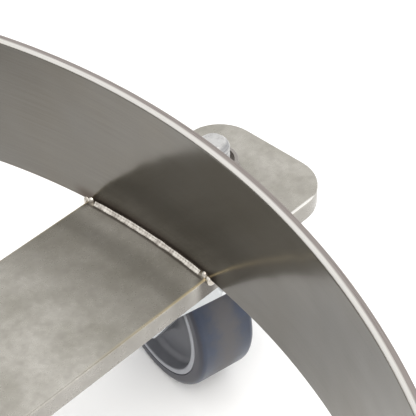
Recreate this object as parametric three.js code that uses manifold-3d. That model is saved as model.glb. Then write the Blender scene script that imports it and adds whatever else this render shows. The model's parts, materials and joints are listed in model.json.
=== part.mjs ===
// Drum dolly for a 200 litre drum: a rolled ring welded on a cross of two flat bars, with a swivel
// caster under each of the four bar ends. Millimetres, +Z up, origin on the floor under the ring's
// centre, caster 1 on the +X end of the long bar and the others at quarter turns from it.

import * as THREE from "three";
import { mergeVertices } from "three/addons/utils/BufferGeometryUtils.js";
import Module from "manifold-3d";

// Driving dimensions

const GAP = 0.3; // left between pieces that touch, and round a screw in its hole
const CASTER_COUNT = 4;
const JOIN_DEPTH = 1; // how far a solid runs into or past the one that it is joined to or cut from
const FLAT_ERROR = 0.25; // furthest that a round face's flats lie inside its arc
const FEWEST_FACETS = 16;

const RING_INNER_RADIUS = 300; // the drum's bottom chime drops inside it
const RING_WALL = 4;
const RING_HEIGHT = 66;

const BAR_WIDTH = 68;
const BAR_THICKNESS = 10;
const BAR_CORNER_RADIUS = 18; // rounded free ends of the bars
const BAR_END_MARGIN = 39; // from a stud's axis to its bar's end
const RING_TO_STUD = 34; // from the ring's outside to each stud's axis
const STUD_HOLE_CLEARANCE = 0.5; // radial, round the stud in its bar

const RING_WELD_LEG = 3.6; // fillet between the ring's inside and the bar's top
const RING_WELD_BELLY = 2.2; // how far its back stands off the corner, along each face
const RING_WELD_OVERRUN = 1.5; // how far the bead runs past each edge of the bar
const CENTRE_WELD_WIDTH = 9; // bead under each butt joint at the middle of the cross
const CENTRE_WELD_RISE = 1.8;
const SEAM_WELD_WIDTH = 6; // bead up the outside of the ring where the band's ends meet
const SEAM_WELD_RISE = 1.2;
const SEAM_ANGLE = THREE.MathUtils.degToRad(135);

const WHEEL_RADIUS = 40;
const WHEEL_WIDTH = 30;
const TREAD_DEPTH = 6.1; // of cast polyurethane round the wheel centre
const TREAD_EDGE = 1.8; // chamfer on the tread's two rims
const HUB_RIM_THICKNESS = 3;
const HUB_WEB_THICKNESS = 14.6;
const HUB_BOSS_RADIUS = 14;
const HUB_SIDE_PLAY = 1; // between the boss and each fork leg

const CASTER_LEAD = 29; // the axle trails the swivel axis by this much
const SWIVEL_REST_ANGLE = THREE.MathUtils.degToRad(-10.9); // how each caster happens to stand
const FORK_SHEET = 3; // legs
const FORK_CROWN_SHEET = 3.5;
const FORK_LEG_CLEARANCE = 2.5; // between the wheel's side and each leg
const FORK_FRONT = 34.6; // from the swivel axis to the crown's front edge
const FORK_REAR = 31; // and to its rear edge
const FORK_CORNER_RADIUS = 8;
const FORK_BOSS_RADIUS = 12; // round the axle
const FORK_FRONT_SLOPE = THREE.MathUtils.degToRad(-51.3); // of the legs' front edge
const FORK_FRONT_RUN = 60; // length of that straight stretch
const CROWN_BORE_CLEARANCE = 1.5; // radial, round the stud

const STUD_RADIUS = 7; // M14
const STUD_TIP_ABOVE_BAR = 26.8;
const STUD_HEAD_ABOVE_WHEEL = 12.3; // air between the tread's top and the kingpin's head
const STUD_CHAMFER = 2.1;
const STUD_HEAD_ACROSS_FLATS = 22;
const STUD_HEAD_HEIGHT = 8.8;
const STUD_WASHER_RADIUS = 14;
const STUD_WASHER_THICKNESS = 2.5;
const LOCK_NUT_ACROSS_FLATS = 22;
const LOCK_NUT_HEX_HEIGHT = 10.6;
const LOCK_NUT_HEIGHT = 14;
const LOCK_NUT_COLLAR_RADIUS = 10.7;
const LOCK_NUT_MOUTH_RADIUS = 8.9; // of the crimped lip over the locking insert
const LOCK_NUT_MOUTH_DEPTH = 1.5;
const LOCK_NUT_TURN = THREE.MathUtils.degToRad(-30); // how the tightened nut's flats stand

const COLLAR_CHAMFER = 1;

const TOP_RACE_RADIUS = 29;
const RACE_SHEET = 2.4;
const RACE_CORNER = 1.6;
const BALL_DIAMETER = 6;
const BALL_CIRCLE_RADIUS = 20;
const LOWER_RACE_RADIUS = 15;
const LOWER_RACE_HEIGHT = 3.5;

const AXLE_RADIUS = 5; // M10
const AXLE_HEAD_ACROSS_FLATS = 17;
const AXLE_HEAD_HEIGHT = 6.4;
const AXLE_NUT_HEX_HEIGHT = 7.4;
const AXLE_NUT_HEIGHT = 10;
const AXLE_NUT_COLLAR_RADIUS = 7.9;
const AXLE_NUT_MOUTH_RADIUS = 6.6;
const AXLE_NUT_MOUTH_DEPTH = 1.2;
const AXLE_THREAD_BEYOND_NUT = 2;
const AXLE_TIP_CHAMFER = 1;
const SLEEVE_WALL = 2.2; // of the steel tube that the wheel turns on

// Sizes and heights that follow from them

const studCircleRadius = RING_INNER_RADIUS + RING_WALL + RING_TO_STUD;
const axleHeight = WHEEL_RADIUS;
const hubRadius = WHEEL_RADIUS - TREAD_DEPTH - GAP;
const legInner = WHEEL_WIDTH / 2 + FORK_LEG_CLEARANCE;
const legOuter = legInner + FORK_SHEET;
const bossHalfLength = legInner - HUB_SIDE_PLAY;
const sleeveBore = AXLE_RADIUS + GAP;
const sleeveRadius = sleeveBore + SLEEVE_WALL;
const hubBore = sleeveRadius + GAP;

const studHeadBottom = 2 * WHEEL_RADIUS + STUD_HEAD_ABOVE_WHEEL;
const studHeadTop = studHeadBottom + STUD_HEAD_HEIGHT;
const lowerRaceBottom = studHeadTop + GAP;
const crownBottom = lowerRaceBottom + LOWER_RACE_HEIGHT + GAP;
const crownTop = crownBottom + FORK_CROWN_SHEET;
const ballHeight = crownTop + GAP + BALL_DIAMETER / 2;
const raceUnderside = ballHeight + BALL_DIAMETER / 2 + GAP;
const raceTop = raceUnderside + RACE_SHEET;
const barBottom = raceTop + GAP;
const barTop = barBottom + BAR_THICKNESS;
const barEnd = studCircleRadius + BAR_END_MARGIN;
const ringBottom = barTop + GAP;
const ringTop = ringBottom + RING_HEIGHT;
const washerBottom = barTop + GAP;
const lockNutBottom = washerBottom + STUD_WASHER_THICKNESS + GAP;
const studTip = barTop + STUD_TIP_ABOVE_BAR;

// Materials

function finish(color, roughness, metalness) {
  return new THREE.MeshStandardMaterial({ color, roughness, metalness });
}
const stainless = finish(0xa9a49b, 0.38, 1);
const weldMetal = finish(0xcfc8ba, 0.3, 1);
const zincPlate = finish(0xd9dde2, 0.35, 1);
const bearingSteel = finish(0x9a9ea3, 0.2, 1);
const polyamide = finish(0x9b9da3, 0.5, 0);
const polyurethane = finish(0x465064, 0.35, 0);

// Solids: joining, cutting and the two ways that most pieces are made

const wasm = await Module();
wasm.setup();

function toSolid(geometry) {
  const bare = geometry.index ? geometry.toNonIndexed() : geometry.clone();
  bare.deleteAttribute("normal");
  bare.deleteAttribute("uv");
  const merged = mergeVertices(bare, 1e-4);
  return new wasm.Manifold(
    new wasm.Mesh({
      numProp: 3,
      vertProperties: new Float32Array(merged.attributes.position.array),
      triVerts: new Uint32Array(merged.index.array),
    }),
  );
}

function toGeometry(solid) {
  const mesh = solid.getMesh();
  const geometry = new THREE.BufferGeometry();
  geometry.setAttribute("position", new THREE.BufferAttribute(mesh.vertProperties, 3));
  geometry.setIndex(new THREE.BufferAttribute(mesh.triVerts, 1));
  const flat = geometry.toNonIndexed();
  flat.computeVertexNormals();
  return flat;
}

// Sides of a round face, in fours so that its corners fall on the axes.
function facets(radius) {
  const needed = Math.PI * Math.sqrt(radius / (2 * FLAT_ERROR));
  return Math.max(FEWEST_FACETS, 4 * Math.round(needed / 4));
}

// A closed profile of [radius, height] pairs turned about Z. It runs counter-clockwise as seen with
// the radius to the right and the height up.
function turned(profile, sides = facets(Math.max(...profile.map(([r]) => r)))) {
  const points = [...profile, profile[0]].map(([r, z]) => new THREE.Vector2(r, z));
  return new THREE.LatheGeometry(points, sides).rotateX(Math.PI / 2);
}

function ring(inner, outer, bottom, top) {
  return turned([[inner, bottom], [outer, bottom], [outer, top], [inner, top]]);
}

function upright(shape, bottom, height, curveSegments = 6) {
  const options = { depth: height, bevelEnabled: false, curveSegments };
  return new THREE.ExtrudeGeometry(shape, options).translate(0, 0, bottom);
}

function hexagon(acrossFlats) {
  const corner = acrossFlats / Math.sqrt(3);
  const points = [0, 1, 2, 3, 4, 5].map((i) =>
    new THREE.Vector2(corner, 0).rotateAround(new THREE.Vector2(), (i * Math.PI) / 3),
  );
  return new THREE.Shape(points);
}

// What turns a piece modelled along Z so that it lies along the axle.
function alongAxle(geometry) {
  return geometry.rotateY(Math.PI / 2);
}

function named(name, geometry, material) {
  const mesh = new THREE.Mesh(geometry, material);
  mesh.name = name;
  return mesh;
}

// Frame: ring, cross and welds

function ringBand() {
  const outer = RING_INNER_RADIUS + RING_WALL;
  return ring(RING_INNER_RADIUS, outer, ringBottom, ringTop);
}

// Outline of a bar that runs along X, with its free ends rounded and a hole for each stud.
function barOutline(start, end, studs) {
  const half = BAR_WIDTH / 2;
  const r = BAR_CORNER_RADIUS;
  const startRadius = start < 0 ? r : 0;
  const shape = new THREE.Shape();
  shape.moveTo(start + startRadius, -half);
  shape.lineTo(end - r, -half);
  shape.absarc(end - r, -half + r, r, -Math.PI / 2, 0, false);
  shape.absarc(end - r, half - r, r, 0, Math.PI / 2, false);
  shape.lineTo(start + startRadius, half);
  if (startRadius) {
    shape.absarc(start + r, half - r, r, Math.PI / 2, Math.PI, false);
    shape.absarc(start + r, -half + r, r, Math.PI, 1.5 * Math.PI, false);
  } else {
    shape.lineTo(start, -half);
  }
  for (const x of studs) {
    const hole = new THREE.Path();
    hole.absarc(x, 0, STUD_RADIUS + STUD_HOLE_CLEARANCE, 0, 2 * Math.PI, true);
    shape.holes.push(hole);
  }
  return shape;
}

function longBar() {
  const outline = barOutline(-barEnd, barEnd, [-studCircleRadius, studCircleRadius]);
  return upright(outline, barBottom, BAR_THICKNESS);
}

function halfBar() {
  const outline = barOutline(BAR_WIDTH / 2 + GAP, barEnd, [studCircleRadius]);
  return upright(outline, barBottom, BAR_THICKNESS);
}

// A low round-backed bead, as an outline with its flat side on y = 0.
function beadOutline(width, rise) {
  const radius = (width * width) / (8 * rise) + rise / 2;
  const halfAngle = Math.asin(width / 2 / radius);
  const shape = new THREE.Shape();
  shape.absarc(0, rise - radius, radius, Math.PI / 2 - halfAngle, Math.PI / 2 + halfAngle, false);
  return shape;
}

function ringWeld() {
  const inner = RING_INNER_RADIUS - GAP;
  const bottom = barTop + GAP;
  const profile = [
    [inner - RING_WELD_LEG, bottom],
    [inner, bottom],
    [inner, bottom + RING_WELD_LEG],
    [inner - RING_WELD_BELLY, bottom + RING_WELD_BELLY],
  ];
  const fillet = turned(profile, facets(RING_INNER_RADIUS + RING_WALL));
  const length = BAR_WIDTH + 2 * RING_WELD_OVERRUN;
  const stretch = new THREE.BoxGeometry(RING_INNER_RADIUS, length, BAR_WIDTH);
  stretch.translate(RING_INNER_RADIUS, 0, bottom);
  return toGeometry(toSolid(fillet).intersect(toSolid(stretch)));
}

function centreWeld() {
  const bead = upright(beadOutline(CENTRE_WELD_WIDTH, CENTRE_WELD_RISE), 0, BAR_WIDTH);
  bead.translate(0, 0, -BAR_WIDTH / 2).rotateY(Math.PI / 2).rotateX(-Math.PI / 2);
  return bead.translate(0, (BAR_WIDTH + GAP) / 2, barBottom - GAP);
}

function seamWeld() {
  const bead = upright(beadOutline(SEAM_WELD_WIDTH, SEAM_WELD_RISE), ringBottom, RING_HEIGHT);
  return bead.rotateZ(-Math.PI / 2).translate(RING_INNER_RADIUS + RING_WALL + GAP, 0, 0);
}

// Fasteners, modelled along Z

function chamferedHexagon(acrossFlats, bottom, top, chamferBottom) {
  const corner = acrossFlats / Math.sqrt(3);
  const seat = acrossFlats / 2;
  const drop = (corner - seat) * Math.tan(Math.PI / 6);
  const envelope = [
    [0, bottom],
    [chamferBottom ? seat : corner, bottom],
    [corner, bottom + (chamferBottom ? drop : 0)],
    [corner, top - drop],
    [seat, top],
    [0, top],
  ];
  const block = upright(hexagon(acrossFlats), bottom, top - bottom);
  return toSolid(block).intersect(toSolid(turned(dedupe(envelope))));
}

function dedupe(profile) {
  return profile.filter(([r, z], i) => {
    const [nextR, nextZ] = profile[(i + 1) % profile.length];
    return r !== nextR || z !== nextZ;
  });
}

function kingpin() {
  const shank = turned([
    [0, studHeadTop - JOIN_DEPTH],
    [STUD_RADIUS, studHeadTop - JOIN_DEPTH],
    [STUD_RADIUS, studTip - STUD_CHAMFER],
    [STUD_RADIUS - STUD_CHAMFER, studTip],
    [0, studTip],
  ]);
  const head = chamferedHexagon(STUD_HEAD_ACROSS_FLATS, -studHeadTop, -studHeadBottom, false);
  const turnedOver = toGeometry(head).rotateX(Math.PI);
  return toGeometry(toSolid(shank).add(toSolid(turnedOver)));
}

// A prevailing-torque nut: a hexagon, and above it a round collar crimped over the locking insert.
function lockNut(size) {
  const top = size.height;
  const body = chamferedHexagon(size.acrossFlats, 0, size.hexHeight, true);
  const collar = turned([
    [0, size.hexHeight - JOIN_DEPTH],
    [size.collarRadius, size.hexHeight - JOIN_DEPTH],
    [size.collarRadius, top - COLLAR_CHAMFER],
    [size.collarRadius - COLLAR_CHAMFER, top],
    [0, top],
  ]);
  const bore = ring(0, size.bore, -JOIN_DEPTH, top + JOIN_DEPTH);
  const mouth = ring(0, size.mouthRadius, top - size.mouthDepth, top + JOIN_DEPTH);
  const whole = body.add(toSolid(collar)).subtract(toSolid(bore)).subtract(toSolid(mouth));
  return toGeometry(whole);
}

const STUD_NUT = {
  acrossFlats: LOCK_NUT_ACROSS_FLATS,
  hexHeight: LOCK_NUT_HEX_HEIGHT,
  height: LOCK_NUT_HEIGHT,
  collarRadius: LOCK_NUT_COLLAR_RADIUS,
  mouthRadius: LOCK_NUT_MOUTH_RADIUS,
  mouthDepth: LOCK_NUT_MOUTH_DEPTH,
  bore: STUD_RADIUS + GAP,
};

const AXLE_NUT = {
  acrossFlats: AXLE_HEAD_ACROSS_FLATS,
  hexHeight: AXLE_NUT_HEX_HEIGHT,
  height: AXLE_NUT_HEIGHT,
  collarRadius: AXLE_NUT_COLLAR_RADIUS,
  mouthRadius: AXLE_NUT_MOUTH_RADIUS,
  mouthDepth: AXLE_NUT_MOUTH_DEPTH,
  bore: AXLE_RADIUS + GAP,
};

// Swivel head: races and balls

function topRace() {
  const bore = STUD_RADIUS + GAP;
  const skirtBottom = crownTop + 2 * GAP;
  const inside = TOP_RACE_RADIUS - RACE_SHEET;
  return turned([
    [bore, raceUnderside],
    [inside, raceUnderside],
    [inside, skirtBottom],
    [TOP_RACE_RADIUS, skirtBottom],
    [TOP_RACE_RADIUS, raceTop - RACE_CORNER],
    [TOP_RACE_RADIUS - RACE_CORNER, raceTop],
    [bore, raceTop],
  ]);
}

// The balls in their cage, as the ring that they fill.
function ballRing() {
  const radius = BALL_DIAMETER / 2;
  const section = [0, 1, 2, 3, 4, 5].map((i) => [
    BALL_CIRCLE_RADIUS + radius * Math.cos((i * Math.PI) / 3),
    ballHeight + radius * Math.sin((i * Math.PI) / 3),
  ]);
  return turned(section);
}

function lowerRace() {
  const bore = STUD_RADIUS + GAP;
  const top = lowerRaceBottom + LOWER_RACE_HEIGHT;
  const profile = [
    [bore, lowerRaceBottom],
    [LOWER_RACE_RADIUS - RACE_CORNER, lowerRaceBottom],
    [LOWER_RACE_RADIUS, lowerRaceBottom + RACE_CORNER],
    [LOWER_RACE_RADIUS, top],
    [bore, top],
  ];
  return turned(profile);
}

// Fork: a crown plate with two legs that trail back to the axle. Its outline is drawn from the side,
// with the trailing direction to the right and the height up.

function tangentAngle(from, centre, radius, side) {
  const towards = Math.atan2(from.y - centre.y, from.x - centre.x);
  return towards + side * Math.acos(radius / from.distanceTo(centre));
}

function legOutline() {
  const axle = new THREE.Vector2(CASTER_LEAD, axleHeight);
  const front = new THREE.Vector2(-FORK_FRONT, crownTop);
  const down = new THREE.Vector2(FORK_FRONT_RUN, 0).rotateAround(new THREE.Vector2(), FORK_FRONT_SLOPE);
  const waist = front.clone().add(down);
  const rear = new THREE.Vector2(FORK_REAR, crownBottom);
  const frontTouch = tangentAngle(waist, axle, FORK_BOSS_RADIUS, 1);
  const rearTouch = tangentAngle(rear, axle, FORK_BOSS_RADIUS, -1);
  const shape = new THREE.Shape();
  shape.moveTo(rear.x, crownTop);
  shape.lineTo(front.x, front.y);
  shape.lineTo(waist.x, waist.y);
  shape.absarc(axle.x, axle.y, FORK_BOSS_RADIUS, frontTouch, rearTouch + 2 * Math.PI, false);
  shape.lineTo(rear.x, rear.y);
  const hole = new THREE.Path();
  hole.absarc(axle.x, axle.y, AXLE_RADIUS + GAP, 0, 2 * Math.PI, true);
  shape.holes.push(hole);
  return shape;
}

function forkLeg(innerFace) {
  const sideways = new THREE.Matrix4().makeBasis(
    new THREE.Vector3(0, 1, 0),
    new THREE.Vector3(0, 0, 1),
    new THREE.Vector3(1, 0, 0),
  );
  return upright(legOutline(), innerFace, FORK_SHEET, 8).applyMatrix4(sideways);
}

// The plan that the bent sheet fits in: square behind, with rounded corners in front.
function forkPlan(rear) {
  const r = FORK_CORNER_RADIUS;
  const shape = new THREE.Shape();
  shape.moveTo(legOuter, rear);
  shape.lineTo(-legOuter, rear);
  shape.absarc(-legOuter + r, -FORK_FRONT + r, r, Math.PI, 1.5 * Math.PI, false);
  shape.absarc(legOuter - r, -FORK_FRONT + r, r, 1.5 * Math.PI, 2 * Math.PI, false);
  return shape;
}

function fork() {
  const behindBoss = CASTER_LEAD + FORK_BOSS_RADIUS + GAP;
  const crown = upright(forkPlan(FORK_REAR), crownBottom, FORK_CROWN_SHEET, 4);
  const envelope = upright(forkPlan(behindBoss), 0, crownTop, 4);
  const boreRadius = STUD_RADIUS + CROWN_BORE_CLEARANCE;
  const bore = ring(0, boreRadius, crownBottom - JOIN_DEPTH, crownTop + JOIN_DEPTH);
  const legs = toSolid(forkLeg(legInner)).add(toSolid(forkLeg(-legOuter)));
  const whole = legs.add(toSolid(crown)).intersect(toSolid(envelope));
  return toGeometry(whole.subtract(toSolid(bore)));
}

// Axle and wheel, modelled along Z about their own centre

function axleBolt() {
  const headStart = -legOuter - GAP;
  const end = legOuter + GAP + AXLE_NUT_HEIGHT + AXLE_THREAD_BEYOND_NUT;
  const shank = turned([
    [0, headStart - JOIN_DEPTH],
    [AXLE_RADIUS, headStart - JOIN_DEPTH],
    [AXLE_RADIUS, end - AXLE_TIP_CHAMFER],
    [AXLE_RADIUS - AXLE_TIP_CHAMFER, end],
    [0, end],
  ]);
  const head = chamferedHexagon(AXLE_HEAD_ACROSS_FLATS, 0, AXLE_HEAD_HEIGHT, false);
  const placedHead = toGeometry(head).rotateX(Math.PI).translate(0, 0, headStart);
  return toGeometry(toSolid(shank).add(toSolid(placedHead)));
}

function axleSleeve() {
  const half = legInner - GAP;
  return ring(sleeveBore, sleeveRadius, -half, half);
}

function wheelHub() {
  const side = WHEEL_WIDTH / 2;
  const web = HUB_WEB_THICKNESS / 2;
  const rimInner = hubRadius - HUB_RIM_THICKNESS;
  const farSide = [
    [hubBore, bossHalfLength],
    [HUB_BOSS_RADIUS, bossHalfLength],
    [HUB_BOSS_RADIUS, web],
    [rimInner, web],
    [rimInner, side],
    [hubRadius, side],
  ];
  const nearSide = farSide.map(([r, z]) => [r, -z]);
  return turned([...nearSide, ...farSide.reverse()]);
}

function wheelTread() {
  const side = WHEEL_WIDTH / 2;
  const inner = WHEEL_RADIUS - TREAD_DEPTH;
  return turned([
    [inner, -side],
    [WHEEL_RADIUS - TREAD_EDGE, -side],
    [WHEEL_RADIUS, -side + TREAD_EDGE],
    [WHEEL_RADIUS, side - TREAD_EDGE],
    [WHEEL_RADIUS - TREAD_EDGE, side],
    [inner, side],
  ]);
}

// Assembly

function frameGroup() {
  const group = new THREE.Group();
  group.add(named("ring_band", ringBand(), stainless));
  group.add(named("cross_bar_long", longBar(), stainless));
  const seam = named("ring_seam_weld", seamWeld(), weldMetal);
  seam.rotation.z = SEAM_ANGLE;
  group.add(seam);
  for (const [letter, turn] of [["a", 1], ["b", 3]]) {
    const bar = named("cross_bar_half_" + letter, halfBar(), stainless);
    bar.rotation.z = (turn * Math.PI) / 2;
    const bead = named("centre_weld_" + letter, centreWeld(), weldMetal);
    bead.rotation.z = (turn - 1) * (Math.PI / 2);
    group.add(bar, bead);
  }
  for (let i = 0; i < CASTER_COUNT; i++) {
    const bead = named("ring_weld_" + (i + 1), ringWeld(), weldMetal);
    bead.rotation.z = (i * 2 * Math.PI) / CASTER_COUNT;
    group.add(bead);
  }
  return group;
}

function caster(number) {
  const standing = new THREE.Group();
  standing.position.x = studCircleRadius;
  const nut = named("lock_nut_" + number, lockNut(STUD_NUT), stainless);
  nut.position.z = lockNutBottom;
  nut.rotation.z = LOCK_NUT_TURN;
  const washerTop = washerBottom + STUD_WASHER_THICKNESS;
  const washer = ring(STUD_RADIUS + GAP, STUD_WASHER_RADIUS, washerBottom, washerTop);
  standing.add(
    named("kingpin_" + number, kingpin(), zincPlate),
    named("stud_washer_" + number, washer, stainless),
    nut,
    named("top_race_" + number, topRace(), zincPlate),
    named("lower_race_" + number, lowerRace(), zincPlate),
  );

  const swivel = new THREE.Group();
  swivel.rotation.z = SWIVEL_REST_ANGLE;
  swivel.add(
    named("ball_ring_" + number, ballRing(), bearingSteel),
    named("fork_" + number, fork(), zincPlate),
  );

  const axle = new THREE.Group();
  axle.position.set(0, CASTER_LEAD, axleHeight);
  const axleNut = alongAxle(lockNut(AXLE_NUT)).translate(legOuter + GAP, 0, 0);
  axle.add(
    named("axle_bolt_" + number, alongAxle(axleBolt()), zincPlate),
    named("axle_nut_" + number, axleNut, zincPlate),
    named("axle_sleeve_" + number, alongAxle(axleSleeve()), zincPlate),
    named("wheel_hub_" + number, alongAxle(wheelHub()), polyamide),
    named("wheel_tread_" + number, alongAxle(wheelTread()), polyurethane),
  );
  swivel.add(axle);
  standing.add(swivel);

  const quarter = new THREE.Group();
  quarter.rotation.z = ((number - 1) * 2 * Math.PI) / CASTER_COUNT;
  quarter.add(standing);
  return quarter;
}

const group = new THREE.Group();
group.add(frameGroup());
for (let number = 1; number <= CASTER_COUNT; number++) {
  group.add(caster(number));
}

export default group;
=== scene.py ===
# %% [markdown]
# # Dressing a stainless drum dolly
#
# The dolly is a rolled ring welded on a cross of two flat bars, with a swivel caster under each bar
# end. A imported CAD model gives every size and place, and it stays as it is. Each cell below makes one
# finer piece over a CAD node, or one finish, and says why it is made that way.

import json
import math

import bmesh
import bpy
from mathutils import Matrix, Vector, noise


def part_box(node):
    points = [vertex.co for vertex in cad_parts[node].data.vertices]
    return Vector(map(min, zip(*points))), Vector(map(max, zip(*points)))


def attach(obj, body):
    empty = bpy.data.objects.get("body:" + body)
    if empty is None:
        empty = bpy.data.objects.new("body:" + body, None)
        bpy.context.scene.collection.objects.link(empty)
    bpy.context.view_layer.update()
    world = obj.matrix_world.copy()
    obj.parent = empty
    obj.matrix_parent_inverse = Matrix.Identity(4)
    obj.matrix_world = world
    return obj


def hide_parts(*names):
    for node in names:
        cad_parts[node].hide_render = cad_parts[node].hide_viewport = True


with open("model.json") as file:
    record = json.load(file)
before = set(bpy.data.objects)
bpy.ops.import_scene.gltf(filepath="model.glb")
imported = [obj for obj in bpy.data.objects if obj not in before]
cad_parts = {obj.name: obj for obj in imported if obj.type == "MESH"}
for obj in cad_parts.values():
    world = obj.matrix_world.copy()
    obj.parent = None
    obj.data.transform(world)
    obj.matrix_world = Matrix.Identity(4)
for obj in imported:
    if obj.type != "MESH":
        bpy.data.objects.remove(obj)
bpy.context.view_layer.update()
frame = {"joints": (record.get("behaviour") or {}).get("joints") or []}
CASTERS = (1, 2, 3, 4)

# %% [markdown]
# ## Colours and nodes
#
# Every finish below is a tree of shader nodes. Typing each node's setup in full would hide the idea
# of a finish, so one small function adds any node, sets it and links it. Colours are written as
# the hex codes that a paint chart gives, and one function turns them to Blender's linear values.

# %% Colour and node helpers
MM = 0.001
ALWAYS = {"Mix": {"data_type": "RGBA"}}  # every Mix node here mixes colours


def colour(hex_code):
    """The linear RGBA that Blender works in, from an sRGB hex code."""
    parts = [int(hex_code[i : i + 2], 16) / 255 for i in (1, 3, 5)]
    return [p / 12.92 if p <= 0.04045 else ((p + 0.055) / 1.055) ** 2.4 for p in parts] + [1.0]


def connect(tree, node, sockets):
    """Sets a node's inputs, by name or place, to values or links them to other nodes."""
    for key, value in sockets.items():
        usable = [s for s in node.inputs if s.enabled]
        socket = usable[key] if isinstance(key, int) else next(s for s in usable if s.name == key)
        if isinstance(value, bpy.types.Node):
            value = next(s for s in value.outputs if s.enabled)
        if isinstance(value, bpy.types.NodeSocket):
            tree.links.new(value, socket)
        else:
            socket.default_value = value


def add_node(tree, kind, sockets, **settings):
    """Adds one node. settings are its properties, and sockets are its inputs."""
    made = tree.nodes.new("ShaderNode" + kind)
    for name, value in {**ALWAYS.get(kind, {}), **settings}.items():
        setattr(made, name, value)
    connect(tree, made, sockets)
    return made


def spaced(size_mm):
    """A texture's scale for features that lie this many millimetres apart."""
    return 1 / (size_mm * MM)


print("a mid grey of #808080 is", round(colour("#808080")[0], 3), "in linear light")

# %% [markdown]
# ## Camera
#
# The camera stands over the far side of the ring and looks down through it at the end of one bar, as a
# person who steers the dolly would. It could be aimed with a constraint at an empty, but a line of
# sight and one matrix leave nothing behind in the scene.

# %% Camera
FOCAL_LENGTH_MM = 124.98
VIEW_AZIMUTH = math.radians(43.82)  # of the line of sight, from +X
VIEW_ELEVATION = math.radians(42.32)  # looking down
CAMERA_ROLL = math.radians(-0.855)
CAMERA_DISTANCE = 0.5974
INSIDE_STUD, ASIDE = 9.8 * MM, 6.1 * MM  # of the middle of the view, on the bar's top

stud_low, stud_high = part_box("kingpin_1")
bar_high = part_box("cross_bar_long")[1]
target = Vector(((stud_low.x + stud_high.x) / 2 - INSIDE_STUD, -ASIDE, bar_high.z))
sight = Vector((
    math.cos(VIEW_ELEVATION) * math.cos(VIEW_AZIMUTH),
    math.cos(VIEW_ELEVATION) * math.sin(VIEW_AZIMUTH),
    -math.sin(VIEW_ELEVATION),
))

scene = bpy.context.scene
camera = bpy.data.objects.new("camera", bpy.data.cameras.new("camera"))
camera.data.lens = FOCAL_LENGTH_MM
camera.data.clip_start = 0.01
level = sight.to_track_quat("-Z", "Y").to_matrix().to_4x4()
stand = Matrix.Translation(target - CAMERA_DISTANCE * sight)
camera.matrix_world = stand @ level @ Matrix.Rotation(CAMERA_ROLL, 4, "Z")
scene.collection.objects.link(camera)
scene.camera = camera
print("camera at", [round(x, 4) for x in camera.matrix_world.translation])

# %% [markdown]
# ## Floor and light
#
# The object is bright metal, so it shows mostly what it mirrors. A white room all round gives the even
# grey of a product shelf. A small soft light overhead draws the bright line along every rounded
# upper edge, and on the ring's inner edge and the bars' top edges a painted highlight adds to it. A
# wide softbox behind the camera lifts the shadows on the floor. Spot lights would draw hard shadows
# and hot points on the steel, so both lamps are round softboxes.

# %% Floor and room
ROOM_BRIGHTNESS = 1.1
FLOOR_SIZE = 30.0

scene.view_settings.view_transform = "Standard"
scene.world = bpy.data.worlds.new("white_room")
scene.world.use_nodes = True
backdrop = scene.world.node_tree
white = {"Color": colour("#FFFFFF"), "Strength": ROOM_BRIGHTNESS}
connect(backdrop, backdrop.nodes["Background"], white)

floor_mesh = bpy.data.meshes.new("floor")
bm = bmesh.new()
bmesh.ops.create_grid(bm, x_segments=1, y_segments=1, size=FLOOR_SIZE / 2)
bm.to_mesh(floor_mesh)
bm.free()
floor = bpy.data.objects.new("floor", floor_mesh)
floor_paint = bpy.data.materials.new("matt_white_floor")
floor_paint.use_nodes = True
paint_tree = floor_paint.node_tree
matt_white = {"Base Color": colour("#F9F9F9"), "Roughness": 0.9, "Specular IOR Level": 0.0}
connect(paint_tree, paint_tree.nodes["Principled BSDF"], matt_white)
floor_mesh.materials.append(floor_paint)
scene.collection.objects.link(floor)
print("floor of", FLOOR_SIZE, "m")

# %% Softboxes
LAMP_DISTANCE = 1.6
OVERHEAD_SIZE, OVERHEAD_POWER = 0.6, 5.0
FILL_SIZE, FILL_POWER = 1.3, 18.0


def softbox(name, direction, size, power):
    """A round softbox that shines on the middle of the view from a direction."""
    lamp = bpy.data.objects.new(name, bpy.data.lights.new(name, "AREA"))
    lamp.data.shape = "DISK"
    lamp.data.size = size
    lamp.data.energy = power
    lamp.data.color = colour("#FFFCF6")[:3]
    direction = Vector(direction).normalized()
    aim = (-direction).to_track_quat("-Z", "Y").to_matrix().to_4x4()
    lamp.matrix_world = Matrix.Translation(target + LAMP_DISTANCE * direction) @ aim
    scene.collection.objects.link(lamp)
    print(name, "softbox,", size, "m wide,", power, "W")


softbox("overhead", (-0.1, -0.12, 1.0), OVERHEAD_SIZE, OVERHEAD_POWER)
softbox("fill", (-0.42, -0.46, 0.78), FILL_SIZE, FILL_POWER)

# %% [markdown]
# ## How the pieces are made
#
# Nearly everything here was turned, rolled, pressed or cut from bar, so three ways cover it: an outline
# spun round an axis, a flat outline given thickness, and two solids joined or cut. Sizes are in
# millimetres while a piece is drawn. It is then put in its place in the mesh itself, so that
# its object stays at the origin. Where a pattern has to turn with a wheel or a caster, the mesh also
# keeps the coordinates that it was drawn in.

# %% Outlines, spun and thickened
FULL_TURN = math.tau
HOLE_STEPS = 48


def oblong(left, right, low, high):
    """The four corners of a rectangle, from the left low one round to the left high one."""
    return [(left, low), (right, low), (right, high), (left, high)]


def round_corners(bm, points, corners, segments):
    """Rounds points of an outline. corners is {index: radius in mm}."""
    for index, radius in dict(corners).items():
        bmesh.ops.bevel(
            bm, geom=[points[index]], offset=radius, offset_type="OFFSET", affect="VERTICES",
            segments=segments(radius), profile=0.5, material=-1,
        )


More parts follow.
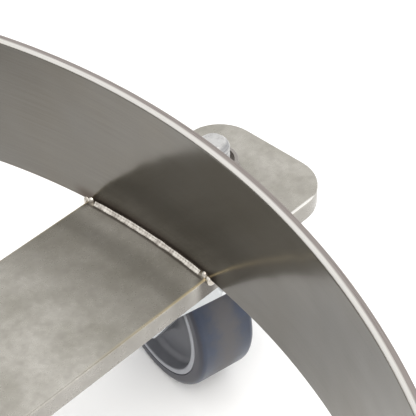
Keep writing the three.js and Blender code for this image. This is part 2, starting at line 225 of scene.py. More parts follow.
def spun(outline, steps, corners=(), closed=True):
    """Spins an outline of (radius, height) points once round Z."""
    bm = bmesh.new()
    points = [bm.verts.new((r, 0, z)) for r, z in outline]
    ends = points[1:] + points[:1] if closed else points[1:]
    for a, b in zip(points, ends):
        bm.edges.new((a, b))
    round_corners(bm, points, corners, lambda radius: 4 if radius > 0.5 else 2)
    bmesh.ops.spin(
        bm, geom=bm.verts[:] + bm.edges[:], cent=(0, 0, 0), axis=(0, 0, 1), angle=FULL_TURN,
        steps=steps, use_merge=True, use_duplicate=False,
    )
    bmesh.ops.remove_doubles(bm, verts=bm.verts, dist=1e-4)
    bmesh.ops.recalc_face_normals(bm, faces=bm.faces)
    return bm


def cylinder(radius, low, high, steps=HOLE_STEPS, corners=()):
    """A round bar up Z, or what a drill takes out."""
    return spun(oblong(0, radius, low, high), steps, corners, closed=False)


def slab(outline, low, high, corners=()):
    """A flat outline of (x, y) points given thickness."""
    bm = bmesh.new()
    points = [bm.verts.new((x, y, low)) for x, y in outline]
    bm.faces.new(points)
    round_corners(bm, points, corners, lambda radius: 10)
    raised = bmesh.ops.extrude_face_region(bm, geom=bm.faces[:])["geom"]
    top = [v for v in raised if isinstance(v, bmesh.types.BMVert)]
    bmesh.ops.translate(bm, verts=top, vec=(0, 0, high - low))
    bmesh.ops.recalc_face_normals(bm, faces=bm.faces)
    return bm


print("shapes: oblong, spun, cylinder, slab")

# %% Easing and joining solids
EASED_FROM = math.radians(40)  # edges that turn more than this get eased


def soften(bm, width, segments, where):
    """Breaks the sharp edges, as a file or tumbling does."""
    sharp = [e for e in bm.edges if e.is_manifold and e.calc_face_angle(0) > EASED_FROM and where(e)]
    bmesh.ops.bevel(
        bm, geom=sharp, offset=width, offset_type="OFFSET", affect="EDGES", segments=segments,
        profile=0.5, material=-1, clamp_overlap=True,
    )


def combine(first, second, operation):
    """Joins or cuts two solids: UNION, DIFFERENCE or INTERSECT. Both are used up."""
    helpers = []
    for bm in (first, second):
        mesh = bpy.data.meshes.new("blank")
        bm.to_mesh(mesh)
        bm.free()
        helpers.append(bpy.data.objects.new("blank", mesh))
        scene.collection.objects.link(helpers[-1])
    work, tool = helpers
    cut = work.modifiers.new("cut", "BOOLEAN")
    cut.operation, cut.object, cut.solver = operation, tool, "EXACT"
    bpy.context.view_layer.update()
    evaluated = work.evaluated_get(bpy.context.evaluated_depsgraph_get())
    result = bmesh.new()
    result.from_mesh(evaluated.to_mesh())
    evaluated.to_mesh_clear()
    for helper in helpers:
        mesh = helper.data
        bpy.data.objects.remove(helper)
        bpy.data.meshes.remove(mesh)
    bmesh.ops.remove_doubles(result, verts=result.verts, dist=1e-4)
    return result


def moved(bm, matrix):
    """The same solid, moved or turned."""
    bmesh.ops.transform(bm, matrix=matrix, verts=bm.verts)
    return bm


print("joining: soften, combine, moved")

# %% [markdown]
# ## Finished pieces
#
# A piece is finished when its mesh stands in its place, its smooth faces are shaded evenly, it rides on
# its body and the CAD node that it stands for is hidden. Weighted normals keep the broad faces
# flat beside their small rounds, where plain smooth shading would smear a shadow over them.

# %% Finishing a piece
SHARP_FROM = math.radians(38)  # edges that turn more than this stay sharp in the shading


def heights(node):
    """The lowest and highest point of a CAD node, in millimetres."""
    low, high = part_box(node)
    return low.z / MM, high.z / MM


def finish(bm, name, body, slot_name, node, materials, place=Matrix.Identity(4), keep_own=False):
    """Turns a bmesh drawn in millimetres into the finished piece that stands for a CAD node."""
    mesh = bpy.data.meshes.new(name)
    bm.to_mesh(mesh)
    bm.free()
    if keep_own:
        own = mesh.attributes.new("own", "FLOAT_VECTOR", "POINT")
        own.data.foreach_set("vector", [c * MM for v in mesh.vertices for c in v.co])
    mesh.transform(place @ Matrix.Scale(MM, 4))
    mesh.shade_smooth()
    for material in materials:
        mesh.materials.append(material)
    piece = bpy.data.objects.new(name, mesh)
    scene.collection.objects.link(piece)
    mesh.set_sharp_from_angle(angle=SHARP_FROM)
    weighted = piece.modifiers.new("even_shading", "WEIGHTED_NORMAL")
    weighted.keep_sharp = True
    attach(piece, body)
    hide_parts(node)
    print(f"{name} for {node}: {len(mesh.polygons)} faces")
    return piece


def fit_caster(number, place, rows):
    """Finishes pieces of one caster. rows give: solid, name, body, slot, CAD node, material."""
    for bm, name, body, slot_name, node, material in rows:
        names = f"{name}_{number}", body, slot_name, f"{node}_{number}"
        finish(bm, *names, [material], place, keep_own=True)


print("the ring's CAD node stands from", *[round(z, 1) for z in heights("ring_band")], "mm")

# %% [markdown]
# ## Where each caster stands
#
# A caster is drawn once, on its own axes, and set down four times. The CAD joints say where each stud
# and axle is and which way the axle points, so the places are read from them and not typed in.

# %% Caster places
def caster_places(number):
    """Places of a caster's axes, X along its axle, Y trailing and Z up, at the stud, fork and axle."""
    joints = {j["name"]: j for j in frame["joints"]}
    stud = Vector(joints[f"swivel_{number}"]["pos_m"])
    axle = Vector(joints[f"roll_{number}"]["pos_m"])
    along = Vector(joints[f"roll_{number}"]["axis"])
    turn = Matrix.Rotation(math.atan2(along.y, along.x), 4, "Z")
    on_floor = Matrix.Translation((stud.x, stud.y, 0))
    return {
        "stud": on_floor @ Matrix.Rotation((number - 1) * math.pi / 2, 4, "Z"),
        "fork": on_floor @ turn,
        "axle": Matrix.Translation(axle) @ turn @ Matrix.Rotation(math.pi / 2, 4, "Y"),
        "axle_height": axle.z / MM,
        "lead": (axle - stud).xy.length / MM,
    }


places = {number: caster_places(number) for number in CASTERS}
axle_height, lead = places[1]["axle_height"], places[1]["lead"]
print("lead", round(lead, 2), "axle height", round(axle_height, 2))

# %% [markdown]
# ## Reading a point's place on the ring
#
# The ring's and the bars' patterns follow the metal: lines run round the strip, and heat marks follow the
# weld. Flat Object coordinates can't follow a curve, so a few nodes turn them into a radius, a way along
# the strip, a height, and a distance from the middle line of the nearest bar. A UV map would
# do it for the ring, but not for the bars that it crosses.

# %% Ring coordinates
RING_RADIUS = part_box("ring_band")[1].x / MM
RING_WALL = 4.0
RING_INSIDE = RING_RADIUS - RING_WALL
ring_low, ring_high = heights("ring_band")
BAR_HALF_WIDTH = bar_high.y / MM
TO_SEAM = math.radians(45)  # brings the angle's jump to the strip's own seam, 135 degrees round


def from_axis(tree, position):
    """Nodes for a point's distance from Z and its own X, Y and Z."""
    split = add_node(tree, "SeparateXYZ", {0: position})
    flat = add_node(tree, "CombineXYZ", {"X": split.outputs["X"], "Y": split.outputs["Y"]})
    return add_node(tree, "VectorMath", {0: flat}, operation="LENGTH"), split.outputs


def round_the_ring(tree, position):
    """Nodes for a point's radius, way along the strip, height and way from the bar's middle line."""
    radius, split = from_axis(tree, position)
    turned = add_node(tree, "VectorRotate", {"Vector": position, "Angle": TO_SEAM}, rotation_type="Z_AXIS")
    flat = add_node(tree, "SeparateXYZ", {0: turned}).outputs
    angle = add_node(tree, "Math", {0: flat["Y"], 1: flat["X"]}, operation="ARCTAN2")
    along = add_node(tree, "Math", {0: angle, 1: RING_RADIUS * MM}, operation="MULTIPLY")
    # The nearest bar runs along X or Y, so the smaller of the two is the way from its middle line.
    side_x = add_node(tree, "Math", {0: split["X"]}, operation="ABSOLUTE")
    side_y = add_node(tree, "Math", {0: split["Y"]}, operation="ABSOLUTE")
    aside = add_node(tree, "Math", {0: side_x, 1: side_y}, operation="MINIMUM")
    return radius, along, split["Z"], aside


def apart(tree, one, other):
    """Nodes for how far two lengths are apart."""
    difference = add_node(tree, "Math", {0: one, 1: other}, operation="SUBTRACT")
    return add_node(tree, "Math", {0: difference}, operation="ABSOLUTE")


def new_finish(name, metallic, coordinates="Object"):
    """A material, its node tree, and the coordinates that its patterns are drawn in."""
    material = bpy.data.materials.new(name)
    material.use_nodes = True
    tree = material.node_tree
    connect(tree, tree.nodes["Principled BSDF"], {"Metallic": metallic})
    if coordinates == "own":
        return material, tree, add_node(tree, "Attribute", {}, attribute_name="own").outputs["Vector"]
    return material, tree, add_node(tree, "TexCoord", {}).outputs[coordinates]


def complete(material, tint, pattern, roughness, relief, between=(0.3, 0.7)):
    """Connects the shader: a colour, a roughness (low, high) over a pattern, and a fine relief."""
    tree = material.node_tree
    span = {"From Min": between[0], "From Max": between[1], "To Min": roughness[0], "To Max": roughness[1]}
    rough = add_node(tree, "MapRange", {"Value": pattern, **span})
    sockets = {"Base Color": tint, "Roughness": rough}
    if relief:
        sockets["Normal"] = relief
    connect(tree, tree.nodes["Principled BSDF"], sockets)
    print("finish", material.name, "has", len(tree.nodes), "nodes")
    return material


print("ring of", round(RING_RADIUS, 1), "mm, from", round(ring_low, 1), "to", round(ring_high, 1), "mm")

# %% [markdown]
# ## Cold-rolled sheet for the ring
#
# The ring is rolled from 4 mm strip with the mill's cold-rolled finish, which metalworkers call 2B. It is
# smooth enough to mirror the bar softly, and grey because it has been pickled. Fine lines run
# round it, where the bending rolls carried it. A brushed sheet would need strong directional relief;
# here faint stretched noise in the colour and a trace of it in the relief are enough.

# %% Finish: cold-rolled 2B stainless
def cold_rolled_stainless():
    # 2B sheet gives a soft grey mirror: sharp close to what it shows, blurred further off.
    material, tree, position = new_finish("cold_rolled_2b_stainless", metallic=1.0)
    _, along, height, aside = round_the_ring(tree, position)
    strip = add_node(tree, "CombineXYZ", {"X": along, "Y": height})

    # Roll lines: 40 mm long and 0.8 mm apart, coarser than the real ones so that they show.
    stretched = add_node(tree, "Mapping", {"Vector": strip, "Scale": (0.02, 1.0, 1.0)})
    lines = add_node(tree, "TexNoise", {"Vector": stretched, "Scale": spaced(0.8), "Detail": 4.0})
    clouds = add_node(tree, "TexNoise", {"Vector": strip, "Scale": spaced(38), "Detail": 3.0})
    base = add_node(tree, "Mix", {"Factor": clouds, "A": colour("#6B665D"), "B": colour("#72716F")})
    share = add_node(tree, "MapRange", {"Value": lines, "From Min": 0.3, "From Max": 0.7, "To Max": 0.26})
    lined = add_node(tree, "Mix", {"Factor": share, "A": base, "B": colour("#85827D")})

    # Heat tint round each weld, with painted shade of the bead's undercut along its toe: brown,
    # strongest at the bead and gone 8 mm up and 9 mm aside.
    over_weld = add_node(
        tree, "MapRange",
        {"Value": height, "From Min": (ring_low + 8) * MM, "From Max": (ring_low + 2.5) * MM},
        interpolation_type="SMOOTHSTEP",
    )
    beside_bar = add_node(
        tree, "MapRange",
        {"Value": aside, "From Min": (BAR_HALF_WIDTH + 9) * MM, "From Max": (BAR_HALF_WIDTH + 1) * MM},
        interpolation_type="SMOOTHSTEP",
    )
    heat_and_toe_shade = add_node(tree, "Math", {0: over_weld, 1: beside_bar}, operation="MULTIPLY")
    heat_and_shade_share = add_node(tree, "Math", {0: heat_and_toe_shade, 1: 0.7}, operation="MULTIPLY")
    tinted_and_shaded = add_node(tree, "Mix", {"Factor": heat_and_shade_share, "A": lined, "B": colour("#4A3D36")})

    # Rolled strip is never quite true: shallow waves about 24 mm long bend what it mirrors.
    waves = add_node(tree, "TexNoise", {"Vector": strip, "Scale": spaced(24), "Detail": 1.0})
    wavy = add_node(tree, "Bump", {"Height": waves, "Strength": 1.0, "Distance": 0.35 * MM})
    relief = add_node(
        tree, "Bump", {"Height": lines, "Strength": 0.16, "Distance": 0.02 * MM, "Normal": wavy},
    )
    return complete(material, tinted_and_shaded, clouds, (0.13, 0.2), relief)


ring_wall_finish = cold_rolled_stainless()

# %% [markdown]
# ## The ring's dressed edges
#
# The strip's edges were sheared and then dressed with a flap disc, which leaves them brighter than the
# wall and grained along the cut. A mask in the wall's own material could do it, but a finish of
# its own, chosen face by face, keeps each of the two simple.

# %% Finish: dressed edge
def dressed_edge():
    # Fresh abrasive grain on steel: bright, and lined along the edge.
    material, tree, position = new_finish("dressed_stainless_edge", metallic=1.0)
    radius, along, height, _ = round_the_ring(tree, position)
    strip = add_node(tree, "CombineXYZ", {"X": along, "Y": height, "Z": radius})
    stretched = add_node(tree, "Mapping", {"Vector": strip, "Scale": (0.03, 1.0, 1.0)})
    grain = add_node(tree, "TexNoise", {"Vector": stretched, "Scale": spaced(0.5), "Detail": 3.0})
    base = add_node(tree, "Mix", {"Factor": grain, "A": colour("#8A827E"), "B": colour("#A19995")})
    # A painted highlight along the inner arris: a bright line, 2 mm wide.
    arris_highlight = add_node(
        tree, "MapRange",
        {"Value": radius, "From Min": (RING_INSIDE + 2.2) * MM, "From Max": (RING_INSIDE + 1.2) * MM},
        interpolation_type="SMOOTHSTEP",
    )
    highlighted = add_node(tree, "Mix", {"Factor": arris_highlight, "A": base, "B": colour("#DBD8D3")})
    # Where the round runs out into the wall, a brown band darkens it.
    run_out = add_node(tree, "MapRange", {
        "Value": height, "From Min": (ring_high - 0.7) * MM, "From Max": (ring_high - 1.2) * MM,
        "To Max": 0.7,
    })
    browned = add_node(tree, "Mix", {"Factor": run_out, "A": highlighted, "B": colour("#74675A")})
    relief = add_node(tree, "Bump", {"Height": grain, "Strength": 0.3, "Distance": 0.04 * MM})
    return complete(material, browned, grain, (0.24, 0.36), relief)


edge_finish = dressed_edge()

# %% [markdown]
# ## The ring
#
# A rolled band is a rectangle spun once round Z. Its inner top edge is rounded most, where the drum drops
# in, and the other three only lose their burr. A tube with a Bevel modifier would round all four
# alike. 288 steps keep each chord within 0.02 mm of the circle.

# %% Ring band
RING_STEPS = 288
INNER_TOP_ROUND = 1.6
BURR_ROUND = 0.5


def ring_band():
    outline = oblong(RING_INSIDE, RING_RADIUS, ring_low, ring_high)
    bm = spun(outline, RING_STEPS, {0: BURR_ROUND, 1: BURR_ROUND, 2: BURR_ROUND, 3: INNER_TOP_ROUND})
    for face in bm.faces:
        on_wall = abs(face.normal.z) < 0.2 and ring_low + 1 < face.calc_center_median().z < ring_high - 1
        face.material_index = 0 if on_wall else 1
    return bm


ring_finishes = [ring_wall_finish, edge_finish]
finish(ring_band(), "rolled_ring", "frame", "stainless_2b", "ring_band", ring_finishes)

# %% [markdown]
# ## Pickled plate for the bars
#
# The bars are hot-rolled flat, pickled in acid to take the scale off. That leaves a matt, slightly mottled
# warm grey with cloudy patches. It could be one noise, but real plate is uneven at several sizes, so
# clouds, mottle and grain are three noises of their own.

# %% Pickled skin
def pickled_skin(tree, position, height):
    """Nodes for the plate's clouds, its mottle and the colour that they make, with painted shade on its
    sides.
    """
    clouds = add_node(
        tree, "TexNoise", {"Vector": position, "Scale": spaced(26), "Detail": 5.0, "Roughness": 0.6},
    )
    mottle = add_node(
        tree, "TexNoise", {"Vector": position, "Scale": spaced(4), "Detail": 5.0, "Roughness": 0.7},
    )
    cloudy = add_node(tree, "MapRange", {"Value": clouds, "From Min": 0.32, "From Max": 0.68})
    base = add_node(tree, "Mix", {"Factor": cloudy, "A": colour("#8F8C83"), "B": colour("#B0ADA6")})
    share = add_node(
        tree, "MapRange", {"Value": mottle, "From Min": 0.45, "From Max": 0.75, "To Max": 0.5},
    )
    mottled = add_node(tree, "Mix", {"Factor": share, "A": base, "B": colour("#7F7A75")})
    # Painted shade: the sides and the underside are darker than the top face.
    on_side = add_node(tree, "MapRange", {
        "Value": height, "From Min": bar_high.z - 0.8 * MM, "From Max": bar_high.z - 1.6 * MM,
        "To Max": 0.5,
    })
    sided = add_node(tree, "Mix", {"Factor": on_side, "A": mottled, "B": colour("#8C8986")})
    return clouds, mottle, sided


# %% [markdown]
# ## Welding marks and painted shade on the plate
#
# The welder's heat shows as a soft dark band a little way in from the bead. A dark line right at its
# toe is painted shade of the bead's undercut with some heat tint, and the patch on each side where the
# bead runs over the bar's edge is a burn with painted shade in the gap beside the lumps. A painted
# reflection of the dark wall also darkens the plate gently towards it. All follow the ring, so they
# are drawn by the distance from it. Painting them on a texture would work too, for one bar at a
# time; by distance, all four come out alike.

# %% Weld heat and painted shade
BEAD_LEG = 1.45  # of the fillet bead, along each face
BAND_INSET = 15  # mm from the ring's inside to the middle of the dark band


def weld_heat_and_shade(tree, clean, clouds, radius, height, aside):
    """Nodes for the plate's colour with the marks of welding on it, and painted shade by the wall and the
    bead.
    """
    near_ring = apart(tree, RING_INSIDE * MM, radius)
    # A painted reflection of the dark ring wall: the plate darkens a little from 75 to 20 mm off it.
    wall_reflection_share = add_node(
        tree, "MapRange",
        {"Value": near_ring, "From Min": 75 * MM, "From Max": 20 * MM, "To Max": 0.1},
        interpolation_type="SMOOTHSTEP",
    )
    wall_shaded = add_node(tree, "Mix", {"Factor": wall_reflection_share, "A": clean, "B": colour("#69645E")})

    # The soft band fades from 1.5 to 8 mm off its middle, and the clouds break it up.
    off_band = apart(tree, radius, (RING_INSIDE - BAND_INSET) * MM)
    band = add_node(
        tree, "MapRange",
        {"Value": off_band, "From Min": 8 * MM, "From Max": 1.5 * MM, "To Max": 0.62},
        interpolation_type="SMOOTHSTEP",
    )
    band_share = add_node(tree, "Math", {0: band, 1: clouds}, operation="MULTIPLY")
    banded = add_node(tree, "Mix", {"Factor": band_share, "A": wall_shaded, "B": colour("#55514A")})

    # The toe: a dark line on the bar's top where the bead ends, painted shade of its undercut with some
    # heat tint.
    off_toe = apart(tree, radius, (RING_INSIDE - BEAD_LEG - 0.5) * MM)
    toe_shade = add_node(
        tree, "MapRange", {"Value": off_toe, "From Min": 1.1 * MM, "From Max": 0.3 * MM, "To Max": 0.75},
    )
    on_top = add_node(tree, "Math", {0: height, 1: bar_high.z - 0.5 * MM}, operation="GREATER_THAN")
    toe_share = add_node(tree, "Math", {0: toe_shade, 1: on_top}, operation="MULTIPLY")
    # The patches where the bead's ends run over the bar's edges: a burn, with painted shade in the gap
    # beside the lumps.
    by_wall = add_node(
        tree, "MapRange",
        {"Value": near_ring, "From Min": 7 * MM, "From Max": 2 * MM, "To Max": 0.8},
        interpolation_type="SMOOTHSTEP",
    )
    at_edge = add_node(tree, "MapRange", {
        "Value": aside, "From Min": (BAR_HALF_WIDTH - 3.5) * MM, "From Max": (BAR_HALF_WIDTH - 0.5) * MM,
    })
    burn_and_gap_shade = add_node(tree, "Math", {0: by_wall, 1: at_edge}, operation="MULTIPLY")
    burn_and_shade_share = add_node(tree, "Math", {0: toe_share, 1: burn_and_gap_shade}, operation="MAXIMUM")
    return add_node(tree, "Mix", {"Factor": burn_and_shade_share, "A": banded, "B": colour("#3B342D")})


print("dark band", round(RING_INSIDE - BAND_INSET, 1), "mm from the ring's centre")

# %% [markdown]
# The bar's long top edges carry a painted highlight, and inside the ring the heat leaves a straw tint on
# it. This is the last coat of colour, so the whole finish is put together here. The acid leaves a chalky
# skin: less than all of it is metallic, and it stays light beside a dark wall.

# %% Finish: pickled hot-rolled stainless
def painted_arris_highlight(tree, below, radius, height, aside):
    """Nodes for the plate's colour with a painted highlight along its long top edges, straw-coloured
    inside the ring.
    """
    edge = add_node(tree, "MapRange", {
        "Value": aside, "From Min": (BAR_HALF_WIDTH - 1.1) * MM, "From Max": (BAR_HALF_WIDTH - 0.6) * MM,
    })
    # The painted highlight grows from 70 to 8 mm inside the ring, and stays on outside it.
    wear_and_sheen = add_node(tree, "MapRange", {
        "Value": radius, "From Min": (RING_INSIDE - 70) * MM, "From Max": (RING_INSIDE - 8) * MM,
        "To Max": 0.75,
    })
    on_top = add_node(tree, "Math", {0: height, 1: bar_high.z - 0.6 * MM}, operation="GREATER_THAN")
    arris_sheen = add_node(tree, "Math", {0: edge, 1: wear_and_sheen}, operation="MULTIPLY")
    share = add_node(tree, "Math", {0: arris_sheen, 1: on_top}, operation="MULTIPLY")
    outside = add_node(tree, "Math", {0: radius, 1: RING_RADIUS * MM}, operation="GREATER_THAN")
    straw = add_node(tree, "Mix", {"Factor": outside, "A": colour("#BDAF8E"), "B": colour("#F0EFEC")})
    return add_node(tree, "Mix", {"Factor": share, "A": below, "B": straw})


def pickled_plate():
    # Acid-pickled plate gives the eye a warm matt grey, with clouds and a fine grain.
    material, tree, position = new_finish("pickled_hot_rolled_stainless", metallic=0.6)
    radius, _, height, aside = round_the_ring(tree, position)
    clouds, mottle, skin = pickled_skin(tree, position, height)
    heat_and_shade_marks = weld_heat_and_shade(tree, skin, clouds, radius, height, aside)
    edged = painted_arris_highlight(tree, heat_and_shade_marks, radius, height, aside)
    grain = add_node(tree, "TexNoise", {"Vector": position, "Scale": spaced(1.4), "Detail": 2.0})
    relief = add_node(tree, "Bump", {"Height": grain, "Strength": 0.1, "Distance": 0.04 * MM})
    return complete(material, edged, mottle, (0.24, 0.34), relief)


plate_finish = pickled_plate()

# %% [markdown]
# ## The bars
#
# Flat bar comes with slightly eased corners. The free ends were rounded and each was drilled for its stud.
# A cube with a Bevel modifier could not round the ends and the edges differently, so a flat
# outline with rounded corners is given thickness, its edges are eased, and the holes are cut with
# a round cutter, which is how the real ones came about.

# %% Cross bars
BAR_END_ROUND = 18.0
BAR_EDGE_ROUND = 0.7
STUD_RADIUS = 7.0
HOLE_PLAY = 0.5
bar_bottom, bar_top = heights("cross_bar_long")


def flat_bar(node, studs):
    """A bar with its free ends rounded and a hole at each stud."""
    low, high = (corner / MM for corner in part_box(node))
    outline = oblong(low.x, high.x, low.y, high.y)
    reach = bar_high.x / MM - 1
    free = {i: BAR_END_ROUND for i, (x, y) in enumerate(outline) if max(abs(x), abs(y)) > reach}
    bm = slab(outline, bar_bottom, bar_top, free)
    soften(bm, BAR_EDGE_ROUND, 3, where=lambda e: abs((e.verts[0].co - e.verts[1].co).z) < 0.1)
    for x, y in studs:
        drill = cylinder(STUD_RADIUS + HOLE_PLAY, bar_bottom - 5, bar_top + 5)
        bm = combine(bm, moved(drill, Matrix.Translation((x, y, 0))), "DIFFERENCE")
    return bm


stud_spots = {n: tuple(places[n]["stud"].translation.xy / MM) for n in CASTERS}
for node, numbers in (("cross_bar_long", (1, 3)), ("cross_bar_half_a", (2,)), ("cross_bar_half_b", (4,))):
    bar = flat_bar(node, [stud_spots[n] for n in numbers])
    finish(bar, node.replace("cross_", "") + "_plate", "frame", "stainless_plate", node, [plate_finish])

# %% [markdown]
# ## Weld metal
#
# The beads are TIG welds, bright after pickling. Each dab of filler freezes as a small crescent, so a bead
# is a row of fine ripples. The ripples are shaped in the mesh below, because they are seen from the
# side; the metal itself only needs patches of cream and grey.

# %% Finish: pickled weld bead
def weld_bead_metal():
    # Clean weld metal is creamy and bright, with duller patches where it cooled last.
    material, tree, position = new_finish("pickled_weld_bead", metallic=1.0)
    patches = add_node(tree, "TexNoise", {"Vector": position, "Scale": spaced(2.6), "Detail": 3.0})
    share = add_node(tree, "MapRange", {"Value": patches, "From Min": 0.35, "From Max": 0.65})
    base = add_node(tree, "Mix", {"Factor": share, "A": colour("#ADA69E"), "B": colour("#DDD8CF")})
    relief = add_node(tree, "Bump", {"Height": patches, "Strength": 0.3, "Distance": 0.15 * MM})
    return complete(material, base, patches, (0.42, 0.3), relief)


weld_finish = weld_bead_metal()

# %% [markdown]
# ## The fillet welds
#
# A fillet bead is its cross-section carried round the inside of the ring. A curve with a bevel profile
# could sweep it, but its points would be hard to reach afterwards. Here the section is spun through
# the bar's width only, and then each point on its back is moved in and out to make the ripples and
# the slightly unsteady hand of the welder. The bead ends in two small lumps at each edge of the bar:
# one on the top edge and one that runs round under the ring.

# %% Swept bead
RIPPLE_PITCH = 1.5
RIPPLE_DEPTH = 0.1
STEPS_PER_RIPPLE = 6
BEAD_WANDER = 0.3
BEAD_POINTS = 8  # along the bead's back, from toe to toe
BEAD_ROOT = 0.15  # how far the bead's corner is sunk into the bar and the ring
WELD_INSET = 4.0  # the even bead stops short of the bar's edges, where the lumps take over


def swept_bead(half_angle):
    """A smooth fillet bead over bar number 1."""
    corner = Vector((RING_INSIDE, 0, bar_top))
    bm = bmesh.new()
    section = [bm.verts.new(corner + Vector((BEAD_ROOT, 0, -BEAD_ROOT)))]
    for i in range(BEAD_POINTS + 1):
        turn = i / BEAD_POINTS * math.pi / 2
        # A gently swollen line from the bar's top to the ring's wall.
        reach = BEAD_LEG * (1 - 0.3 * math.sin(2 * turn) ** 1.5)
        section.append(bm.verts.new(corner + Vector((-reach * math.cos(turn), 0, reach * math.sin(turn)))))
    for a, b in zip(section, section[1:] + section[:1]):
        bm.edges.new((a, b))
    moved(bm, Matrix.Rotation(-half_angle, 4, "Z"))
    bmesh.ops.spin(
        bm, geom=[bm.faces.new(section)], cent=(0, 0, 0), axis=(0, 0, 1), angle=2 * half_angle,
        steps=int(2 * BAR_HALF_WIDTH / RIPPLE_PITCH * STEPS_PER_RIPPLE), use_merge=False,
        use_duplicate=False,
    )
    return bm


def ripple(bm, number):
    """Moves the points on a bead's back, so that it ripples and wanders."""
    for v in bm.verts:
        off = Vector((math.hypot(v.co.x, v.co.y) - RING_INSIDE, 0, v.co.z - bar_top))
        if off.length < 0.5:
            continue
        along = RING_INSIDE * math.atan2(v.co.y, v.co.x)
        bow = off.normalized().dot(Vector((-1, 0, 1)).normalized())  # 1 on the middle of the back
        phase = along / RIPPLE_PITCH + 0.35 * bow + 0.4 * noise.noise(Vector((along / 6, number, 0)))
        rise = RIPPLE_DEPTH * (abs(math.sin(math.pi * phase)) - 0.6)
        wander = BEAD_WANDER * noise.noise(Vector((along / 4.5, 3 * number, bow)))
        grown = 1 + (rise + wander) / off.length
        radial = Vector((v.co.x, v.co.y, 0)).normalized()
        v.co = radial * (RING_INSIDE + off.x * grown) + Vector((0, 0, bar_top + off.z * grown))
    bmesh.ops.recalc_face_normals(bm, faces=bm.faces)


print("about", round(2 * BAR_HALF_WIDTH / RIPPLE_PITCH), "ripples over a bar")

# %% Fillet welds in the ring
LUMP_RADIUS = 2.6
# Each lump's share of that radius, and its place inward, outward and up from the bar's edge.
LUMPS = ((0.85, 1.3, -1.6, 0.5), (1.0, 1.0, 0.9, -0.8))


def ring_weld(number):
    """The bead over bar number 1, then turned to its own bar."""
    bm = swept_bead(math.asin((BAR_HALF_WIDTH - WELD_INSET) / RING_INSIDE))
    ripple(bm, number)
    for side in (-1, 1):
        for size, inward, outward, rise in LUMPS:
            lump = bmesh.new()
            bmesh.ops.create_icosphere(lump, subdivisions=3, radius=size * LUMP_RADIUS)
            bmesh.ops.scale(lump, verts=lump.verts, vec=(0.85, 0.72, 1.0))
            for v in lump.verts:
                v.co *= 1 + 0.14 * noise.noise(v.co * 0.6 + Vector((number, side, inward)))
            place = Vector((RING_INSIDE - inward, side * (BAR_HALF_WIDTH + outward), bar_top + rise))
            bm = combine(bm, moved(lump, Matrix.Translation(place)), "UNION")
    return moved(bm, Matrix.Rotation((number - 1) * math.pi / 2, 4, "Z"))


for number in CASTERS:
    bead = ring_weld(number)
    finish(bead, f"fillet_bead_{number}", "frame", "weld", f"ring_weld_{number}", [weld_finish])

# %% [markdown]
# ## The straight welds
#
# The butt joints of the cross are welded underneath, and the strip's ends are joined by one upright bead
# outside. Those beads are straight: a low arched section, drawn out in fine steps and rippled. A
# stretched half-cylinder would have no rows of points to ripple.

# %% Straight beads
SEAM_WIDTH, SEAM_RISE, SEAM_TURN = 6.0, 1.2, math.radians(135)
SEAM_LIFT = 0.1  # of the bead's flat side off the ring's wall


def straight_bead(width, rise, length):
    """A bead along X with its flat side down, centred on the origin."""
    bm = bmesh.new()
    turns = [math.pi * i / BEAD_POINTS for i in range(BEAD_POINTS + 1)]
    section = [bm.verts.new((0, -width / 2 * math.cos(t), rise * math.sin(t))) for t in turns]
    cap = bm.faces.new(section)
    steps = int(length / RIPPLE_PITCH * STEPS_PER_RIPPLE)
    for step in range(steps):
        drawn = bmesh.ops.extrude_face_region(bm, geom=[cap])["geom"]
        if step:  # the face just drawn from would stay inside the bead; the first one is its end
            bmesh.ops.delete(bm, geom=[cap], context="FACES_ONLY")
        cap = next(g for g in drawn if isinstance(g, bmesh.types.BMFace))
        bmesh.ops.translate(bm, verts=cap.verts, vec=(length / steps, 0, 0))
    bmesh.ops.translate(bm, verts=bm.verts, vec=(-length / 2, 0, 0))
    for v in bm.verts:
        if v.co.z > 0.05:
            phase = v.co.x / RIPPLE_PITCH + 0.8 * (v.co.y / width) ** 2
            v.co.z += RIPPLE_DEPTH * (abs(math.sin(math.pi * phase)) - 1)
    bmesh.ops.recalc_face_normals(bm, faces=bm.faces)
    return bm


for letter in ("a", "b"):
    low, high = (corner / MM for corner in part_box(f"centre_weld_{letter}"))
    bead = straight_bead(high.y - low.y, high.z - low.z, high.x - low.x)
    under = Matrix.Translation(Vector((0, (low.y + high.y) / 2, high.z)) * MM)
    upside_down = under @ Matrix.Rotation(math.pi, 4, "X")
    names = f"butt_bead_{letter}", "frame", "weld", f"centre_weld_{letter}"
    finish(bead, *names, [weld_finish], upside_down)

seam = straight_bead(SEAM_WIDTH, SEAM_RISE, ring_high - ring_low)
on_wall = Matrix.Translation(((RING_RADIUS + SEAM_LIFT) * MM, 0, (ring_low + ring_high) / 2 * MM))
upright = Matrix.Rotation(SEAM_TURN, 4, "Z") @ on_wall @ Matrix.Rotation(math.pi / 2, 4, "Y")
finish(seam, "seam_bead", "frame", "weld", "ring_seam_weld", [weld_finish], upright)

# %% [markdown]
# ## Bright zinc
#
# Bolts, races and the fork are mild steel, zinc plated and blue passivated. Object coordinates would
# leave its clouds standing still while a caster turns, so the pattern is read from the coordinates
# that the piece was drawn in.

# %% Finish: blue zinc plate
def zinc_plate():
    # Passivated zinc is nearly white with a cool cast, and has a satin crystal mottle.
    material, tree, own = new_finish("blue_passivated_zinc", 1.0, coordinates="own")
    clouds = add_node(
        tree, "TexNoise", {"Vector": own, "Scale": spaced(9), "Detail": 5.0, "Roughness": 0.6},
    )
    crystals = add_node(tree, "TexVoronoi", {"Vector": own, "Scale": spaced(0.9)})
    base = add_node(tree, "Mix", {"Factor": clouds, "A": colour("#CBCFD2"), "B": colour("#E6E9EB")})
    relief = add_node(tree, "Bump", {"Height": crystals, "Strength": 0.15, "Distance": 0.05 * MM})
    return complete(material, base, clouds, (0.3, 0.42), relief)


zinc_finish = zinc_plate()

